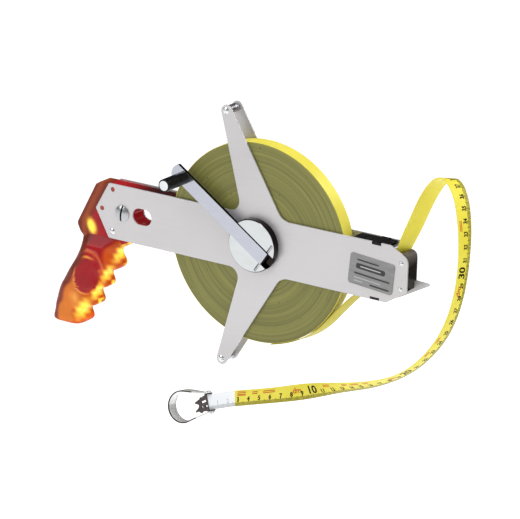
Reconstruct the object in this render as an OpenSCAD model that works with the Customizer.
// Open-frame surveyor's tape reel with a pistol grip, a folding crank and a ringed tape end.
// Millimetres. The origin is where the hand holds the grip, +X points to the tape mouth, +Z is up,
// and the crank side is the front, towards -Y.

/* [Tape] */
// Width of the steel tape
tape_w = 13; // [12.6:0.1:13.2]
// Thickness of the coated tape
tape_t = 0.4; // [0.3:0.02:0.42]
// Length of tape wound on the drum, in metres
tape_len = 50; // [30:1:51]
// Radius of the drum the tape is wound on
drum_r = 30; // [26:0.5:32]

/* [Frame] */
// Clear gap between the two frame plates
frame_gap = 14.4; // [14.2:0.1:15]
// Thickness of one frame plate
plate_t = 1.3; // [1:0.1:1.6]
// Half the height of the frame's long arm
arm_half = 24.2; // [22:0.2:26]
// Distance from the reel's axis to the mouth end of the frame
mouth_x = 143; // [142:0.5:146]
// Distance from the reel's axis to the pointed grip end of the frame
tail_x = 162.3; // [160:0.1:165]
// Radius of the frame rivets
rivet_r = 1.6; // [1.2:0.1:2]

/* [Crank] */
// Direction of the crank arm from the axis, in degrees above +X
crank_angle = 146; // [140:1:152]
// Radius of the crank disc
disc_r = 22.5; // [21:0.5:24]
// Distance from the axis to the knob
knob_reach = 81.6; // [78:0.1:84]
// Distance from the axis to the pin that the crank arm folds on
fold_offset = 14.4; // [12:0.2:15]
// Width of the crank arm
crank_w = 12.2; // [11:0.1:12.6]
// Radius of the knob
knob_r = 5.4; // [5:0.1:6]
// Length of the knob
knob_len = 27; // [24:0.5:30]

/* [Axle] */
// Radius of the axle
axle_r = 8; // [7:0.1:9]
// Radial running clearance of shafts in their bores
running = 0.05; // [0.02:0.01:0.1]

/* [Grip] */
// Reel axis ahead of the point where the hand holds the grip
reel_x = 178; // [176:1:180]
// Reel axis above the point where the hand holds the grip
reel_z = 62; // [60:1:64]

/* [Hidden] */
$fn = 64;
eps = 0.01;

// Depths from the middle plane of the frame
gap_y = frame_gap / 2;
face_y = gap_y + plate_t;
coil_y = tape_w / 2;
bush_y = face_y + 0.4;
disc_back = bush_y + 0.4;
disc_face = disc_back + 6.2;
groove_y = disc_back + 2.3;
fold_y = disc_face - 1.2;
arm_y0 = fold_y - 0.9;
arm_y1 = fold_y + 2.2;
knob_base = arm_y1 + 0.3;
knob_tip = knob_base + knob_len;

// The wound tape: its side area is its length times its thickness
coil_r = sqrt(drum_r * drum_r + tape_len * 1000 * tape_t / PI);

// Holes in the frame, as [x, z] from the reel's axis
arm_tip = [-32, 107.3];
handle_screw_at = [-134.7, 0];
handle_rivet_at = [-145.1, -17.9];
peg_at = [[-144.8, 19.2], [-155.8, 0.8]];
mouth_rivet_at = [[137.3, 11], [137, -10.5]];
roller_at = [126.2, 18.9];
slot_at = [-114.3, 0.5];
slot_len = 19.4;
slot_h = 14.3;
peg_r = 2;
screw_r = 2.5;
barrel_r = 3.6;
handle_rivet_r = 2;
hole_gap = 0.05;
bush_r = 10.5;

// Middle of the loose turn and of the tape's run to the mouth, as [x, z] from the reel's axis, then
// how far the tape's rear edge leans out
lead = [[15, -85, 0], [29.6, -81.4, 0.35], [43.6, -75.5, 0.9], [56.3, -67.1, 1.3], [66.4, -57.7, 1.6],
        [73.3, -49, 1.7], [80.6, -40.6, 1.7], [88, -32.2, 1.7], [94.5, -25.6, 1.5], [101, -20.6, 1],
        [107.5, -16.6, 0.5], [113.5, -11.3, 0.15], [118.6, -6.6, 0], [123.9, -1.8, 0], [125.5, 0, 0],
        [127.5, 2.8, 0], [129, 6, 0]];

// Route of the free tape from the mouth to its end, and the direction across its width
route = [[307, 0, 68], [311, 0, 79], [316, 0, 92], [321, 1, 104], [325, 2, 115], [330, 2, 127],
         [337, 1, 139], [346, -3, 148], [355, -9, 152], [365, -15, 149], [374, -22, 140],
         [379, -27, 129], [383, -31, 117], [386, -36, 92], [386, -42, 67], [380, -46, 42],
         [367, -48, 20], [349, -49, 1], [327, -48, -12], [303, -45, -22], [279, -41, -30],
         [254, -40, -39], [230, -42, -47], [205, -46, -54], [183, -48, -60], [172, -49, -64],
         [161, -50, -68]];
across = [[0, -10, 0], [-4, -9, 2], [-6, -7, 3], [-7, -6, 3], [-7, -6, 3], [-7, -6, 3], [-6, -7, 3],
          [-6, -8, 2], [-6, -8, 1], [-6, -8, 0], [-5, -8, 1], [-5, -9, 1], [-4, -9, 2], [-2, -9, 2],
          [-2, -10, 2], [-2, -10, 2], [-2, -10, 2], [-2, -9, 2], [-3, -9, 4], [-3, -7, 6],
          [-3, -6, 7], [-3, -1, 9], [-3, 5, 8], [-3, 5, 8], [-3, 4, 9], [-35, 22, 91], [-35, 18, 92]];
rings_per_span = 3;

// The clamp at the tape's end: local X runs off the tape's end and local Z across its width
end_turn = [12, 20, 185];
ring_pin_x = -2.2;
ring_rivet_r = 0.85;
ear_z = tape_w / 2 + 0.1;
ear_t = 1;
ring_z = ear_z + ear_t + 0.2;
ring_t = 1;
ring_w = 11;
ring_r = 13.7;
ring_c = 24.5;

// Grip outline below the frame, from the reel's axis: [height, back edge, front edge]
grip_rows = [[-24.6, -179.6, -125], [-26.5, -179, -127.5], [-28.5, -178.6, -130.5],
             [-30.5, -178.5, -134], [-32.5, -178.5, -138], [-34.5, -178.7, -141],
             [-37, -179.2, -142.6], [-40, -180, -142.8], [-43, -181.2, -141.6],
             [-46, -182.5, -139.2], [-48.8, -184, -138.4], [-51.4, -185.5, -140],
             [-53.6, -186.8, -144], [-55.2, -187.7, -149], [-57, -188.7, -152.6],
             [-60, -190.5, -154.2], [-63, -192.3, -153.8], [-66, -194, -151.8],
             [-69, -195.7, -150.8], [-71.4, -197, -153.6], [-73.2, -198, -159],
             [-75, -199, -163.2], [-78.5, -200.4, -165.2], [-81.5, -201.5, -164.4],
             [-84.5, -202.5, -162.2], [-87.2, -203.2, -161.6], [-89.6, -203.8, -163.8],
             [-91.4, -204.2, -169.4], [-93.4, -204.5, -174.4], [-97, -205, -177],
             [-100, -205.4, -176.4], [-103, -205.7, -175], [-105.6, -205.9, -175],
             [-107.4, -205.6, -175.6], [-108.5, -204.8, -177.4]];
grip_half = [[-108.5, 12], [-107, 13.2], [-104, 13.6], [-90, 14], [-60, 14], [-45, 13.2],
             [-35, 11], [-28.5, 8.6], [-24.6, 7.2]];
grip_sides = 20;

// ---- shared functions and modules ----

function unit(v) = v / norm(v);

// A corner of an outline, [x, z, radius], as the points of its arc
function rounded(before, at, after, steps = 8) =
    let (p = [at.x, at.y], a = unit([before.x, before.y] - p), b = unit([after.x, after.y] - p),
         half = acos(a * b) / 2, c = p + unit(a + b) * at[2] / sin(half),
         from = p + a * at[2] / tan(half) - c, to = p + b * at[2] / tan(half) - c,
         a0 = atan2(from.y, from.x), turn = (atan2(to.y, to.x) - a0 + 540) % 360 - 180)
    at[2] == 0 ? [p] : [for (i = [0 : steps]) c + at[2] * [cos(a0 + turn * i / steps),
                                                          sin(a0 + turn * i / steps)]];

function outline(corners) =
    let (n = len(corners))
    [for (i = [0 : n - 1])
        each rounded(corners[(i + n - 1) % n], corners[i], corners[(i + 1) % n])];

// A point of a smooth curve that follows the points p
function on_curve(p, i, t) =
    (pow(1 - t, 3) * p[i] + (3 * pow(t, 3) - 6 * t * t + 4) * p[i + 1]
     + (3 * t * (1 + t - t * t) + 1) * p[i + 2] + pow(t, 3) * p[i + 3]) / 6;

function curve(p, steps) =
    let (n = len(p), q = concat([2 * p[0] - p[1]], p, [2 * p[n - 1] - p[n - 2]]))
    [for (i = [0 : n - 2], k = [0 : steps - 1]) on_curve(q, i, k / steps), p[n - 1]];

// Draws from the reel's axis, which is ahead of and above the hand
module at_axis() {
    translate([reel_x, 0, reel_z]) children();
}

// Extrudes an outline drawn as [x, z] from depth y0 back to depth y1
module slab(y0, y1) {
    translate([0, y1, 0]) rotate([90, 0, 0]) linear_extrude(y1 - y0) children();
}

// A round bar along Y
module rod(r, y0, y1, at = [0, 0]) {
    translate([at.x, y1, at.y]) rotate([90, 0, 0]) cylinder(r = r, h = y1 - y0);
}

// A domed head that stands out along -Y from depth y, or along +Y when back is true
module dome(r, h, y, at, back = false) {
    ball = (r * r + h * h) / (2 * h);
    side = back ? 1 : -1;
    translate([at.x, y, at.y])
        intersection() {
            translate([0, side * (h - ball), 0]) sphere(r = ball, $fn = 48);
            rod(r + 1, back ? 0 : -h - 1, back ? h + 1 : 0);
        }
}

// ---- frame ----

// The plates' outline as [x, z, corner radius], without the corners of the mouth
lower_corners = [[-tail_x, 0, 2], [-148.7, -arm_half, 2], [-14.3, -arm_half, 9],
                 [-45.6, -140.1, 5], [24.6, -arm_half, 13]];
upper_corners = [[mouth_x - 16, arm_half, 6], [24.6, arm_half, 13], [-45.6, 140.1, 5],
                 [-14.3, arm_half, 9], [-148.7, arm_half, 2]];

module plate_holes() {
    translate([slot_at.x, slot_at.y]) {
        for (side = [-1, 1]) translate([side * (slot_len - slot_h) / 2, 0]) circle(r = slot_h / 2);
        square([slot_len - slot_h, slot_h], center = true);
    }
    circle(r = bush_r);
    for (side = [-1, 1]) translate([arm_tip.x, side * arm_tip.y]) circle(r = rivet_r + hole_gap);
    for (at = peg_at) translate(at) circle(r = peg_r + hole_gap);
    for (at = mouth_rivet_at) translate(at) circle(r = rivet_r - 0.2 + hole_gap);
    translate(handle_rivet_at) circle(r = handle_rivet_r + hole_gap);
    for (side = [-1, 1]) translate([113.8, side * arm_half]) square([8.7, 4.6], center = true);
}

// The mouth corners differ: the rear plate runs on into a steel point
module plate(mouth_corners, screw_hole, y0, y1) {
    difference() {
        slab(y0, y1)
            difference() {
                polygon(outline(concat(lower_corners, mouth_corners, upper_corners)));
                plate_holes();
                translate(handle_screw_at) circle(r = screw_hole + hole_gap);
            }
        rod(1.25 + hole_gap, -gap_y - 0.7, gap_y + 0.7, roller_at);
    }
}

module front_plate() color("silver") at_axis()
    plate([[124.5, -arm_half, 2], [mouth_x, -12.5, 1.5], [mouth_x, 15.7, 7]], screw_r, -face_y, -gap_y);

module rear_plate() color("silver") at_axis()
    plate([[126.5, -arm_half, 2], [154.2, -8.8, 0.4], [154.2, -7, 0.4], [mouth_x - 0.8, -6.2, 0],
           [mouth_x - 0.8, 15.6, 7]],
          barrel_r, gap_y, face_y);

module arm_spacers() color("gainsboro") at_axis()
    for (side = [-1, 1])
        difference() {
            rod(3.6, -gap_y, gap_y, [arm_tip.x, side * arm_tip.y]);
            rod(rivet_r + hole_gap, -gap_y - 1, gap_y + 1, [arm_tip.x, side * arm_tip.y]);
        }

// A rivet with a domed head at each end
module rivet(r, head_r, head_h, at) {
    rod(r, -face_y - eps, face_y + eps, at);
    dome(head_r, head_h, -face_y, at);
    dome(head_r, head_h, face_y, at, back = true);
}

module arm_rivets() color("whitesmoke") at_axis()
    for (side = [-1, 1]) rivet(rivet_r, 2.9, 0.9, [arm_tip.x, side * arm_tip.y]);

// ---- handle ----

// One level of the grip: a rounded box between its back and front edges
function grip_ring(row) =
    let (half = lookup(row[0], grip_half), c = (row[1] + row[2]) / 2, a = (row[2] - row[1]) / 2)
    [for (k = [0 : grip_sides - 1])
        let (t = 360 * (k + 0.5) / grip_sides)
        [c + a * sign(cos(t)) * pow(abs(cos(t)), 0.5),
         half * sign(sin(t)) * pow(abs(sin(t)), 0.5), row[0]]];

module grip_body() {
    n = len(grip_rows);
    s = grip_sides;
    polyhedron(
        points = [for (row = grip_rows) each grip_ring(row)],
        faces = concat(
            [for (i = [0 : n - 2], k = [0 : s - 1]) let (a = i * s + k, b = i * s + (k + 1) % s)
                each [[a, b, b + s], [a, b + s, a + s]]],
            [[for (k = [s - 1 : -1 : 0]) k], [for (k = [0 : s - 1]) (n - 1) * s + k]]));
}

module grip_tongue() {
    slab(-gap_y, gap_y)
        difference() {
            polygon(outline([[-158.6, 23.4, 3], [-80, 23.4, 0], [-80, -23.4, 0], [-125, -23.4, 0],
                             [-137, -28.8, 0], [-175.5, -28.8, 0], [-179.6, -24.8, 2],
                             [-183.2, -17.6, 5], [-163.4, 20.4, 2]]));
            circle(r = coil_r + 2.8, $fn = 128);
            translate([slot_at.x, slot_at.y]) {
                for (side = [-1, 1])
                    translate([side * (slot_len - slot_h) / 2, 0]) circle(r = slot_h / 2);
                square([slot_len - slot_h, slot_h], center = true);
            }
            translate(handle_screw_at) circle(r = barrel_r + hole_gap);
            translate(handle_rivet_at) circle(r = handle_rivet_r + hole_gap);
        }
    for (at = peg_at) rod(peg_r, -face_y + 0.3, face_y - 0.3, at);
}

module grip() color("orangered") at_axis() {
    grip_body();
    grip_tongue();
}

module handle_screw() color("whitesmoke") at_axis()
    difference() {
        union() {
            rod(screw_r, -face_y - eps, 4, handle_screw_at);
            rod(7, -face_y - 0.7, -face_y, handle_screw_at);
            dome(7, 1.7, -face_y - 0.7, handle_screw_at);
        }
        translate([handle_screw_at.x, -face_y - 2.6, handle_screw_at.y])
            rotate([0, 8, 0]) cube([1.5, 2.4, 15], center = true);
    }

module handle_barrel_nut() color("whitesmoke") at_axis()
    difference() {
        union() {
            rod(barrel_r, -4, face_y + eps, handle_screw_at);
            rod(7, face_y, face_y + 0.7, handle_screw_at);
            dome(7, 1.7, face_y + 0.7, handle_screw_at, back = true);
        }
        rod(screw_r + hole_gap, -5, 5, handle_screw_at);
        translate([handle_screw_at.x, face_y + 2.6, handle_screw_at.y])
            cube([1.5, 2.4, 15], center = true);
    }

module handle_rivet() color("whitesmoke") at_axis()
    rivet(handle_rivet_r, 2.7, 0.9, handle_rivet_at);

// ---- mouth ----

// Lugs that key a guide into the notches at the frame's edge
module lugs(side) {
    slab(-face_y, face_y) translate([113.8, side * (arm_half - 1.15)]) square([8.5, 2.2], center = true);
}

module upper_guide() color("dimgray") at_axis() {
    slab(-gap_y, gap_y)
        polygon(outline([[90.5, 23.9, 1], [124.6, 23.9, 0.5], [122.3, 20.6, 1], [122.3, 15.8, 1],
                         [126, 11.5, 1], [127, 6.4, 0], [125.2, 2.6, 0], [122.6, -0.7, 0],
                         [112, -9.4, 4], [104, -12, 0], [91, -13.5, 1]]));
    lugs(1);
}

module mouth_nose() color("dimgray") at_axis() {
    difference() {
        slab(-gap_y, gap_y)
            polygon(outline([[102.4, -23.6, 0], [124, -23.6, 0.5], [140.8, -13, 1], [141, -6.6, 0],
                             [142.7, -6, 0.3], [142.7, 19.2, 5], [137.2, 19.2, 0.3],
                             [132, 5.6, 0], [128.6, 0.4, 0], [125, -3.2, 0]]));
        for (at = mouth_rivet_at) rod(rivet_r - 0.2 + hole_gap, -gap_y - 1, gap_y + 1, at);
    }
    lugs(-1);
}

module mouth_rivets() color("whitesmoke") at_axis()
    for (at = mouth_rivet_at) rivet(rivet_r - 0.2, 2, 0.8, at);

module guide_roller() color("gainsboro") at_axis()
    difference() {
        rod(3.4, -gap_y + 0.3, gap_y - 0.3, roller_at);
        rod(1.25 + running, -gap_y, gap_y, roller_at);
    }

module roller_pin() color("silver") at_axis()
    rod(1.25, -gap_y - 0.6, gap_y + 0.6, roller_at);

module name_plate() color("gray") at_axis()
    translate([110.2, 0, -2.75]) rotate([0, 4.8, 0])
        slab(-face_y - 0.4, -face_y)
            polygon(outline([[-20.75, -13, 2.5], [20.75, -13, 2.5], [20.75, 13, 2.5],
                             [-20.75, 13, 2.5]]));

// ---- axle and drum ----

module bush(y0, y1) {
    difference() {
        rod(bush_r, y0, y1);
        rod(axle_r + running, y0 - 1, y1 + 1);
    }
}

module front_bush() color("darkgoldenrod") at_axis() bush(-bush_y, -gap_y);

module rear_bush() color("darkgoldenrod") at_axis() bush(gap_y, bush_y);

module hub_washers() color("tan") at_axis()
    for (side = [-1, 1])
        difference() {
            rod(15, side * 6.88 - 0.25, side * 6.88 + 0.25);
            rod(axle_r + 0.3, side * 6.88 - 1, side * 6.88 + 1);
        }

// The front end carries a square for the disc, the rear end a thread for the nut
module axle() color("silver") at_axis()
    difference() {
        union() {
            rod(axle_r, -disc_back, disc_back);
            slab(-groove_y, -disc_back + eps) rotate(crank_angle) square(8, center = true);
            rod(5, disc_back - eps, disc_back + 5);
        }
        rod(2, -groove_y - 1, 0);
    }

hub_ribs = 6;

module drum_hub() color("dimgray") at_axis()
    difference() {
        union() {
            rod(drum_r, -coil_y, coil_y);
        }
        rod(axle_r + 0.02, -coil_y - 1, coil_y + 1);
        for (side = [-1, 1])
            difference() {
                slab(side > 0 ? 1.5 : -coil_y - 1, side > 0 ? coil_y + 1 : -1.5)
                    difference() {
                        circle(r = drum_r - 2.5);
                        circle(r = axle_r + 4);
                        for (i = [0 : hub_ribs - 1])
                            rotate(i * 360 / hub_ribs) translate([0, -1]) square([drum_r, 2]);
                    }
            }
        rod(1.5 + hole_gap, -coil_y - 1, coil_y + 1, [0, drum_r - 1.4]);
    }

// The pin that the inner end of the tape hooks over, with a flat level with the drum
module tape_anchor() color("silver") at_axis()
    intersection() {
        rod(1.5, -coil_y, coil_y, [0, drum_r - 1.4]);
        rod(drum_r, -coil_y, coil_y);
    }

module tape_coil() color("olive") at_axis()
    difference() {
        rod(coil_r, -coil_y, coil_y, $fn = 128);
        rod(drum_r, -coil_y - 1, coil_y + 1);
    }

// A strip of tape along a line of points, with the directions across its width
module ribbon(line, side) {
    n = len(line);
    points = [for (i = [0 : n - 1])
        let (t = unit(i == 0 ? line[1] - line[0] : i == n - 1 ? line[n - 1] - line[n - 2]
                      : line[i + 1] - line[i - 1]),
             w = unit(side[i] - (side[i] * t) * t), up = cross(t, w))
        each [for (k = [[1, 1], [-1, 1], [-1, -1], [1, -1]])
            line[i] + w * k[0] * tape_w / 2 + up * k[1] * tape_t / 2]];
    polyhedron(points = points, faces = concat(
        [for (i = [0 : n - 2], k = [0 : 3]) let (a = 4 * i + k, b = 4 * i + (k + 1) % 4)
            each k < 2 ? [[a, b + 4, b], [a, a + 4, b + 4]] : [[a, a + 4, b], [b, a + 4, b + 4]]],
        [[0, 1, 2, 3], [4 * n - 1, 4 * n - 2, 4 * n - 3, 4 * n - 4]]));
}

module tape_lead() color("gold") at_axis() {
    line = curve(lead, rings_per_span);
    n = len(line);
    ribbon([for (p = line) [p.x, 0, p.y]],
           [for (i = [0 : n - 1])
               let (t = unit([for (k = [0, 1]) line[min(i + 1, n - 1)][k] - line[max(i - 1, 0)][k]]))
               [line[i].z * t.y, tape_w / 2, -line[i].z * t.x]]);
}

// ---- free tape and its end ring ----

module free_tape() color("yellow")
    ribbon(curve(route, rings_per_span), curve([for (w = across) unit(w)], rings_per_span));

module at_tape_end() {
    translate(route[len(route) - 1]) rotate(end_turn) children();
}

// The clamp's outline off the end of the tape, with its pointed teeth
clamp_teeth = [[-0.8, -ear_z], [-0.8, ear_z], [0.6, ear_z], [1.4, 6.4], [5, 4.9], [6.3, 5.2], [6.9, 3.9],
               [12.2, 1.4], [11.6, 0.4], [8.7, -0.6], [8.4, -1.8], [9.3, -3.4], [12.7, -5.8],
               [12.4, -6.8], [9.2, -6.4], [7.2, -8], [5.6, -6.8], [2.4, -7], [0.6, -ear_z]];

module tape_clamp() color("dimgray") at_tape_end()
    difference() {
        union() {
            slab(-0.9, 0.9) polygon(clamp_teeth);
            translate([-5.2, -0.9, -ear_z]) cube([6, 0.9, 2 * ear_z]);
            for (side = [-1, 1])
                translate([-2.4, 0, side * (ear_z + ear_t / 2)]) cube([6, 3.6, ear_t], center = true);
        }
        translate([-10, -tape_t / 2 - 0.12, -10]) cube([10.1, tape_t + 0.24, 20]);
        translate([3.25, 0, 1.2]) rotate([0, 11.5, 0]) cube([5, 4, 1.6], center = true);
        translate([1.2, 0, -2.8]) cube([2.4, 4, 1.2], center = true);
        rod(0.9, -2, 2, [5.3, -3]);
        translate([ring_pin_x, 0, -20]) cylinder(r = ring_rivet_r + hole_gap, h = 40);
    }

// The ring's outline, drawn out to distance off from its inner face
function ring_outline(off, steps = 40) =
    let (z = ring_z + off, r = ring_r - ring_t + off, a = [3 + ring_pin_x, z],
         c = [ring_pin_x + ring_c, 0], tail = ring_pin_x - 2.6,
         from = atan2(a.y - c.y, a.x - c.x) - acos(r / norm(a - c)))
    concat([[tail, z], a],
           [for (i = [0 : steps]) let (t = from * (1 - 2 * i / steps)) c + r * [cos(t), sin(t)]],
           [[a.x, -z], [tail, -z]]);

module end_ring() color("lightgray") at_tape_end()
    difference() {
        intersection() {
            slab(-ring_w / 2, ring_w / 2)
                difference() {
                    polygon(ring_outline(ring_t));
                    polygon(ring_outline(0));
                    translate([ring_pin_x - 6, 0]) square([8, 2 * ring_z], center = true);
                }
            translate([0, 0, -20])
                linear_extrude(40)
                    polygon(outline([[ring_pin_x - 2.6, -2.4, 2], [ring_pin_x + 4, -2.4, 3],
                                     [ring_pin_x + 15, -ring_w / 2, 3], [40, -ring_w / 2, 0],
                                     [40, ring_w / 2, 0], [ring_pin_x + 15, ring_w / 2, 3],
                                     [ring_pin_x + 4, 2.4, 3], [ring_pin_x - 2.6, 2.4, 2]]));
        }
        translate([ring_pin_x, 0, -20]) cylinder(r = ring_rivet_r + running, h = 40);
    }

module ring_rivets() color("whitesmoke") at_tape_end()
    for (side = [-1, 1])
        translate([ring_pin_x, 0, 0]) {
            translate([0, 0, side > 0 ? ear_z : -ring_z - ring_t - 0.8])
                cylinder(r = ring_rivet_r, h = ring_z + ring_t + 0.8 - ear_z);
            translate([0, 0, side > 0 ? ring_z + ring_t + 0.1 : -ring_z - ring_t - 0.8])
                cylinder(r = 1.5, h = 0.7);
        }

// ---- crank ----

// Local X points from the axis to the knob
module crank_frame() {
    at_axis() rotate([0, -crank_angle, 0]) children();
}

fold_at = [-fold_offset, 0];
pin_r = 1;
barrel = 2.2;

module crank_disc() color("lightsteelblue") crank_frame()
    difference() {
        union() {
            rod(disc_r, -disc_face + 0.8, -disc_back);
            translate([0, -disc_face + 0.8, 0]) rotate([90, 0, 0])
                cylinder(r1 = disc_r, r2 = disc_r - 0.8, h = 0.8);
        }
        translate([0, -groove_y - 5, 0]) cube([60, 10, crank_w + 0.6], center = true);
        slab(-disc_face, 0) square(8, center = true);
        translate([-fold_offset, -fold_y - 5, 0]) cube([2 * pin_r, 10, 29.6], center = true);
        translate([-fold_offset, -fold_y, -14.8]) cylinder(r = pin_r, h = 29.6);
    }

module disc_screw() color("silver") crank_frame() {
    rod(2, -groove_y - eps, -2);
    rod(5.6, -groove_y - 0.9, -groove_y);
}

module fold_pin() color("dimgray") crank_frame()
    translate([-fold_offset, -fold_y, -14.6]) cylinder(r = pin_r - 0.01, h = 29.2);

module crank_arm() color("aliceblue") crank_frame()
    difference() {
        union() {
            slab(-arm_y1, -arm_y0) {
                translate([-fold_offset, -crank_w / 2]) square([knob_reach + fold_offset, crank_w]);
                intersection() {
                    translate([knob_reach + 3.4, 0]) circle(r = 9);
                    translate([knob_reach - 5, -crank_w / 2]) square([30, crank_w]);
                }
            }
            translate([-fold_offset, -fold_y, -crank_w / 2]) cylinder(r = barrel, h = crank_w);
        }
        translate([-fold_offset, -fold_y, -20]) cylinder(r = pin_r + running, h = 40);
        rod(2 + hole_gap, -arm_y1 - 1, -arm_y0 + 1, [knob_reach, 0]);
    }

module knob_spindle() color("whitesmoke") crank_frame() {
    rod(2, -knob_tip + 0.6, -arm_y0 + 0.3, [knob_reach, 0]);
    rod(3, -arm_y0, -arm_y0 + 0.6, [knob_reach, 0]);
    rod(4.2, -knob_tip - 0.4, -knob_tip + 1.2, [knob_reach, 0]);
}

module knob_washer() color("silver") crank_frame()
    difference() {
        rod(4, -arm_y1 - 0.2, -arm_y1, [knob_reach, 0]);
        rod(2, -arm_y1 - 1, -arm_y1 + 1, [knob_reach, 0]);
    }

module knob_sleeve() color("black") crank_frame()
    difference() {
        translate([knob_reach, -knob_base, 0]) rotate([90, 0, 0])
            cylinder(r = knob_r, h = knob_len);
        rod(2 + running, -knob_tip - 1, 0, [knob_reach, 0]);
        rod(4.35, -knob_tip - 1, -knob_tip + 1.3, [knob_reach, 0]);
    }

// ---- rear end of the axle ----

module axle_washer() color("silver") at_axis()
    difference() {
        rod(12, disc_back, disc_back + 0.8);
        rod(5, disc_back - 1, disc_back + 2);
    }

module axle_nut() color("silver") at_axis()
    difference() {
        union() {
            slab(disc_back + 0.8, disc_back + 4.2) circle(r = 9, $fn = 6);
            dome(7, 2.2, disc_back + 4.2, [0, 0], back = true);
        }
        rod(5, disc_back, disc_back + 5);
    }

front_plate();
rear_plate();
arm_spacers();
arm_rivets();
grip();
handle_screw();
handle_barrel_nut();
handle_rivet();
upper_guide();
mouth_nose();
mouth_rivets();
guide_roller();
roller_pin();
name_plate();
front_bush();
rear_bush();
hub_washers();
axle();
drum_hub();
tape_anchor();
tape_coil();
tape_lead();
free_tape();
tape_clamp();
end_ring();
ring_rivets();
crank_disc();
disc_screw();
fold_pin();
crank_arm();
knob_spindle();
knob_washer();
knob_sleeve();
axle_washer();
axle_nut();
